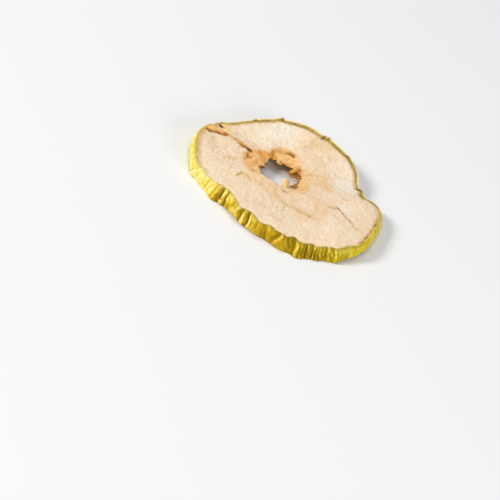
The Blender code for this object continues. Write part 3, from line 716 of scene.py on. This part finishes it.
def fleshMaterial():
    material, tree, surface = newMaterial("driedFlesh")
    place = tree.nodes.new("ShaderNodeTexCoord").outputs["Object"]
    drawn = stretched(tree, place, flesh["draw"])
    grain = noiseNode(tree, drawn, flesh["grainScale"], 4, 0.6)
    specks = noiseNode(tree, drawn, flesh["speckScale"], 2, 0.5)
    patch = noiseNode(tree, drawn, flesh["patchScale"], 4, 0.6)
    nearSide, line, borderShade = (painted(tree, name) for name in ("nearSide", "line", "borderShade"))

    # The flesh, with its open cells, specks and hairline cracks.
    warmth = mathNode(tree, "MULTIPLY_ADD", painted(tree, "warm"), 0.34, 0.40)
    warmth = plus(tree, warmth, times(tree, minus(tree, patch, 0.5), 0.6))
    colour = rampNode(tree, warmth, [(0.05, flesh["white"]), (0.35, flesh["pale"]), (0.55, flesh["cream"]),
                                     (0.95, flesh["warm"])])
    cells = rampNode(tree, grain, [(0.28, flesh["cellDark"]), (0.40, flesh["cellPale"]), (0.60, untinted)])
    colour = tinted(tree, colour, cells)
    colour = tinted(tree, colour, rampNode(tree, specks, [(0.30, flesh["speck"]), (0.46, untinted)]))
    cracks = minus(tree, noiseNode(tree, drawn, flesh["crackScale"], 3, 0.6), 0.5)
    cracks = rampNode(tree, mathNode(tree, "ABSOLUTE", cracks), [(0.002, 1.0), (0.013, 0.0)])
    cracked = rampNode(tree, noiseNode(tree, place, flesh["crackedScale"], 2), [(0.52, 0.0), (0.68, 1.0)])
    cracks = times(tree, cracks, cracked)
    colour = mixColour(tree, cracks, colour, tinted(tree, colour, flesh["hairline"]))

    # Painted shade in a brown band beside the peel, a painted highlight in a pale strip on the near edge, and painted
    # shade in the dark gap along the peel.
    depth = mathNode(tree, "DIVIDE", painted(tree, "toPeel"), rimZone)
    edge = rampNode(tree, depth, [(0.18, 1.0), (0.44, 0.85), (0.68, 0.0)])
    edge = times(tree, edge, plus(tree, patch, 0.45))
    colour = mixColour(tree, times(tree, edge, borderShade, clamp=True), colour, flesh["borderShade"])
    strip = rampNode(tree, depth, [(0.34, 0.0), (0.42, 0.8), (0.52, 0.6), (0.72, 0.0)])
    strip = times(tree, strip, minus(tree, nearSide, borderShade), clamp=True)
    colour = mixColour(tree, times(tree, strip, line), colour, flesh["edgeHighlight"])
    gap = rampNode(tree, painted(tree, "gap"), [(0.41, 1.0), (0.54, 0.0)])
    gap = times(tree, gap, minus(tree, line, times(tree, nearSide, 1.6)), clamp=True)
    colour = mixColour(tree, gap, colour, flesh["gap"])

    # The core, and the marks.
    tan = times(tree, painted(tree, "tan"), plus(tree, patch, 0.4), clamp=True)
    colour = mixColour(tree, tan, colour, flesh["tan"])
    ember = mathNode(tree, "MULTIPLY_ADD", painted(tree, "ember"), -0.18, patch)
    coreColour = rampNode(tree, ember, [(0.24, flesh["coreDark"]), (0.44, flesh["core"]), (0.68, flesh["coreLight"])])
    colour = mixColour(tree, painted(tree, "core"), colour, tinted(tree, coreColour, cells))
    for name in ("wall", "lemon", "lime", "orange", "amber", "brown"):
        colour = mixColour(tree, painted(tree, name), colour, flesh[name])
    rough = bumpNode(tree, minus(tree, grain, times(tree, cracks, 0.3)), flesh["grainBump"])
    dressSurface(tree, surface, flesh, colour, grain, bumpNode(tree, specks, flesh["speckBump"], rough))
    return material


peel = {
    "pale": (0.90, 0.81, 0.36),
    "lemon": (0.82, 0.665, 0.14),
    "gold": (0.54, 0.375, 0.02),
    "olive": (0.26, 0.155, 0.001),
    "lime": (0.75, 0.60, 0.014),
    # The crease colour is painted shade in the creases and at the folds.
    "crease": (0.20, 0.105, 0.001),
    # The cut face is olive; on the near side it is pale with a painted highlight, by the dark line it is darkened
    # with painted shade, and its lit edge is a painted highlight.
    "cut": (0.60, 0.44, 0.12),
    "cutDark": (0.32, 0.21, 0.035),
    "cutHighlight": (0.86, 0.76, 0.50),
    "cutPale": (0.84, 0.68, 0.30),
    "shade": (0.21, 0.145, 0.008),
    "shadeLight": (0.52, 0.40, 0.045),
    "speck": (0.72, 0.68, 0.5),
    "warmth": (1.0, 0.89, 0.72),
    "broadScale": 160,
    "streakDraw": (1, 1, 0.25),  # the streaks run up the peel
    "streakScale": 1300,
    "speckScale": 2600,
    "blotchScale": 520,
    "streakBump": 0.00035,
    "speckBump": 0.00010,
    "roughness": (0.42, 0.60),
    "softness": 0.1,
    "glowColour": (1.0, 0.8, 0.1),
    "glowReach": 0.0006,
    "gloss": 0.06,
}


def peelMaterial():
    material, tree, surface = newMaterial("applePeel")
    place = tree.nodes.new("ShaderNodeTexCoord").outputs["Object"]
    broad = noiseNode(tree, place, peel["broadScale"], 3)
    streaks = noiseNode(tree, stretched(tree, place, peel["streakDraw"]), peel["streakScale"], 4, 0.6)
    specks = noiseNode(tree, place, peel["speckScale"], 3)
    line, up, topShade, paleEdge = (painted(tree, name) for name in ("line", "up", "topShade", "paleEdge"))

    # From olive in the hollows to pale yellow on the ridges: painted shade and painted highlights, over the peel's
    # tone round the ring.
    blend = plus(tree, times(tree, broad, 0.5), times(tree, streaks, 0.9))
    blend = plus(tree, minus(tree, blend, 1.22), painted(tree, "tone"))
    blend = plus(tree, blend, times(tree, painted(tree, "relief"), 0.95))
    colour = rampNode(tree, blend, [(0.1, peel["olive"]), (0.42, peel["gold"]), (0.72, peel["lemon"]),
                                    (1.0, peel["pale"])])
    colour = tinted(tree, colour, rampNode(tree, specks, [(0.3, peel["speck"]), (0.5, untinted)]))
    green = times(tree, painted(tree, "green"), times(tree, broad, 0.8), clamp=True)
    colour = mixColour(tree, green, colour, peel["lime"])
    colour = mixColour(tree, painted(tree, "warmth"), colour, tinted(tree, colour, peel["warmth"]))
    # painted shade darkens the creases, and below, the folds
    deep = times(tree, minus(tree, painted(tree, "crease"), 0.15), 1.1, clamp=True)
    colour = mixColour(tree, deep, colour, peel["crease"])
    edgeShade = mixColour(tree, line, peel["shadeLight"], peel["shade"])
    shade = times(tree, times(tree, topShade, 0.75), plus(tree, streaks, 0.45))
    shade = times(tree, rampNode(tree, up, [(0.86, 0.0), (0.94, 0.8), (1.0, 1.0)]), shade, clamp=True)
    colour = mixColour(tree, shade, colour, edgeShade)

    # The cut face of the peel, seen from above: pale with a painted highlight on the near side and darker with
    # painted shade along the dark line, then a painted highlight on its lit edge and painted shade at the folds.
    inward = minus(tree, painted(tree, "toPeel"), times(tree, paleEdge, 0.18))
    cut = rampNode(tree, inward, [(0.03, 0.0), (0.16, 0.0), (0.30, 1.0)])
    blotch = times(tree, minus(tree, noiseNode(tree, place, peel["blotchScale"], 3), 0.5), 2.2)
    farCut = mixColour(tree, plus(tree, line, blotch, clamp=True), peel["cut"], peel["cutDark"])
    nearCut = mixColour(tree, times(tree, topShade, 0.9), peel["cutPale"], edgeShade)
    cutColour = mixColour(tree, times(tree, painted(tree, "nearSide"), 0.85), farCut, nearCut)
    colour = mixColour(tree, cut, colour, cutColour)
    lit = times(tree, rampNode(tree, up, [(0.9, 0.0), (0.985, 1.0)]), paleEdge)
    colour = mixColour(tree, times(tree, lit, minus(tree, 1.0, cut)), colour, peel["cutHighlight"])
    colour = mixColour(tree, painted(tree, "fold"), colour, peel["crease"])
    ridged = bumpNode(tree, streaks, peel["streakBump"])
    dressSurface(tree, surface, peel, colour, streaks, bumpNode(tree, specks, peel["speckBump"], ridged))
    return material


appleRing = makeRing()
appleRing.data.materials.append(fleshMaterial())
appleRing.data.materials.append(peelMaterial())
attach(appleRing, "root")
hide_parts("apple_ring")
print("ring shaped,", len(appleRing.data.polygons), "faces")


# Dried core skin left standing in the hole: thin flaps, each from its root on the hole's edge.

# Each flap runs across from its dark to its light colour: painted shade and painted light on its two sides. The
# folded flap's light colour is the darker one, a painted shade under the curled flap.
coreFlaps = [
    {"name": "curledFlap", "base": (1.6, 10.0, 4.5), "forward": (-2.57, -2.2, -1.0), "side": (0.50, -0.48, -0.72),
     "halfWidth": 1.15, "length": 3.5, "curl": 0.6, "cup": -0.7, "thickness": 0.3, "rumple": 0.35,
     "dark": (0.30, 0.10, 0.003), "light": (0.60, 0.29, 0.035), "litAcross": -0.6, "litAlong": 0.8},
    {"name": "foldedFlap", "base": (2.7, 8.0, 3.8), "forward": (-3.35, -1.57, -0.6), "side": (0.50, -0.48, -0.72),
     "halfWidth": 0.6, "length": 3.75, "curl": 0.4, "cup": -0.3, "thickness": 0.25, "rumple": 0.25,
     "dark": (0.50, 0.23, 0.05), "light": (0.24, 0.07, 0.002), "litAcross": -1.0, "litAlong": -0.3},
    {"name": "creamFlap", "base": (0.3, -3.9, 4.2), "forward": (-0.42, 0.72, 0.55), "side": (0.85, 0.5, 0.0),
     "halfWidth": 1.75, "length": 3.3, "curl": 0.5, "cup": 0.5, "thickness": 0.25, "rumple": 0.1,
     "dark": (0.72, 0.42, 0.14), "light": (0.83, 0.57, 0.28), "litAcross": -1.0, "litAlong": -0.3},
    {"name": "hangingFlap", "base": (-5.9, 10.1, 4.4), "forward": (0.05, -0.50, -0.85), "side": (0.96, 0.2, -0.15),
     "halfWidth": 1.45, "length": 1.35, "curl": -0.4, "cup": 0.2, "thickness": 0.25, "rumple": 0.15,
     "dark": (0.62, 0.34, 0.10), "light": (0.84, 0.51, 0.19), "litAcross": -1.0, "litAlong": -0.3},
]
coreSkin = {
    "cuts": 32,
    "patchScale": 1400,
    "bump": 0.00012,
    "roughness": (0.46, 0.64),
    "softness": 0.3,
    "glowColour": (1.0, 0.5, 0.15),
    "glowReach": 0.0008,
    "gloss": 0.3,
}


def moved(point):  # from the ring's own middle to the middle of its box, in metres
    return (Vector(point) - Vector((*ring["boxMiddle"], 0))) * mm


def makeFlap(look):
    shape = bmesh.new()
    bmesh.ops.create_grid(shape, x_segments=coreSkin["cuts"], y_segments=coreSkin["cuts"], size=1)
    shade = shape.verts.layers.float.new("shade")
    forward, side = Vector(look["forward"]).normalized(), Vector(look["side"]).normalized()
    rise = side.cross(forward).normalized()
    for vertex in shape.verts:
        across, along = vertex.co.x, (vertex.co.y + 1) / 2
        width = look["halfWidth"] * math.sqrt(max(0.0, 1 - (0.97 * along) ** 2.1))
        width *= 1 + 0.3 * noise.noise((3 * along, across, 0))
        turn = look["curl"] * along
        point = Vector(look["base"]) + side * across * width
        point += forward * look["length"] * math.sin(turn) / look["curl"]
        point += rise * (look["length"] * (1 - math.cos(turn)) / look["curl"] - look["cup"] * across * across)
        point += rise * look["rumple"] * noise.noise((2 * across, 3 * along, 4))
        # painted light and shade: how lit each point of the flap is painted, with noise
        lit = look["litAcross"] * across + look["litAlong"] * (along - 0.4)
        vertex[shade] = smoothStep(-0.6, 0.5, lit - 0.1 + 0.3 * noise.noise((3 * across, 4 * along, 1)))
        vertex.co = moved(point)
    bmesh.ops.solidify(shape, geom=shape.faces[:], thickness=look["thickness"] * mm)
    bmesh.ops.recalc_face_normals(shape, faces=shape.faces[:])
    for face in shape.faces:
        face.smooth = True
    made = toScene(look["name"], meshFrom(shape, look["name"]))
    made.data.materials.append(skinMaterial(look))
    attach(made, "root")


def skinMaterial(look):
    material, tree, surface = newMaterial(look["name"] + "Skin")
    place = tree.nodes.new("ShaderNodeTexCoord").outputs["Object"]
    patch = noiseNode(tree, place, coreSkin["patchScale"], 4, 0.6)
    # painted light and shade from the dark to the light colour, with blotches
    shade = plus(tree, painted(tree, "shade"), times(tree, minus(tree, patch, 0.5), 0.8))
    colour = rampNode(tree, shade, [(0.15, look["dark"]), (0.85, look["light"])])
    dressSurface(tree, surface, coreSkin, colour, patch, bumpNode(tree, patch, coreSkin["bump"]))
    return material


for look in coreFlaps:
    makeFlap(look)
print("core skin made")


# Floor, light and camera.

studio = {
    "floor": (0.83, 0.83, 0.835),
    "floorRoughness": 0.9,
    "floorHalf": 6,
    "worldStrength": 0.42,
    "lights": [("keyLight", (-1.35, -0.9, 0.95), 0.5, 28), ("topLight", (-0.3, 0.6, 2.0), 1.2, 8),
               ("fillLight", (1.4, -0.8, 0.6), 0.8, 10)],  # name, place, width and power
}
view = {
    "elevation": 34,
    "roll": 30,
    "ringHeight": 5.0,  # this height on the ring's own middle is seen at "seenAt"
    "seenAt": (289, 181),
    "picture": 500,
    "pixelsPerMm": 3.065,
    "lens": 100,
    "sensor": 36,
}


def makeFloor():
    shape = bmesh.new()
    bmesh.ops.create_grid(shape, x_segments=1, y_segments=1, size=studio["floorHalf"])
    made = toScene("paperFloor", meshFrom(shape, "paperFloor"))
    material, _, surface = newMaterial("paperFloor")
    surface.inputs["Base Color"].default_value = (*studio["floor"], 1)
    surface.inputs["Roughness"].default_value = studio["floorRoughness"]
    made.data.materials.append(material)


def makeLight(name, place, size, power):
    light = bpy.data.lights.new(name, "AREA")
    light.shape = "DISK"
    light.size = size
    light.energy = power
    made = toScene(name, light)
    made.location = place
    made.rotation_euler = (-Vector(place)).to_track_quat("-Z", "Y").to_euler()


def makeCamera():
    elevation, roll = math.radians(view["elevation"]), math.radians(view["roll"])
    back = Vector((0, -math.cos(elevation), math.sin(elevation)))
    up = Vector((0, math.sin(elevation), math.cos(elevation)))
    level = Vector((1, 0, 0))
    right = math.cos(roll) * level + math.sin(roll) * up
    up = math.cos(roll) * up - math.sin(roll) * level
    middle = Vector((-ring["boxMiddle"][0], -ring["boxMiddle"][1], view["ringHeight"]))
    toRight, toFoot = (seen - view["picture"] / 2 for seen in view["seenAt"])
    target = middle - right * toRight / view["pixelsPerMm"] + up * toFoot / view["pixelsPerMm"]
    camera = bpy.data.cameras.new("photoCamera")
    camera.lens = view["lens"]
    camera.sensor_width = view["sensor"]
    camera.clip_start = 0.01
    made = toScene("photoCamera", camera)
    turn = Matrix((right, up, back)).transposed().to_4x4()
    away = back * view["lens"] / view["sensor"] * view["picture"] / view["pixelsPerMm"]
    made.matrix_world = Matrix.Translation((target + away) * mm) @ turn
    bpy.context.scene.camera = made


makeFloor()
for light in studio["lights"]:
    makeLight(*light)
world = bpy.data.worlds.new("studio")
world.use_nodes = True
world.node_tree.nodes["Background"].inputs["Color"].default_value = (1, 1, 1, 1)
world.node_tree.nodes["Background"].inputs["Strength"].default_value = studio["worldStrength"]
bpy.context.scene.world = world
bpy.context.scene.view_settings.view_transform = "Standard"
makeCamera()
print("floor, lights and camera set")
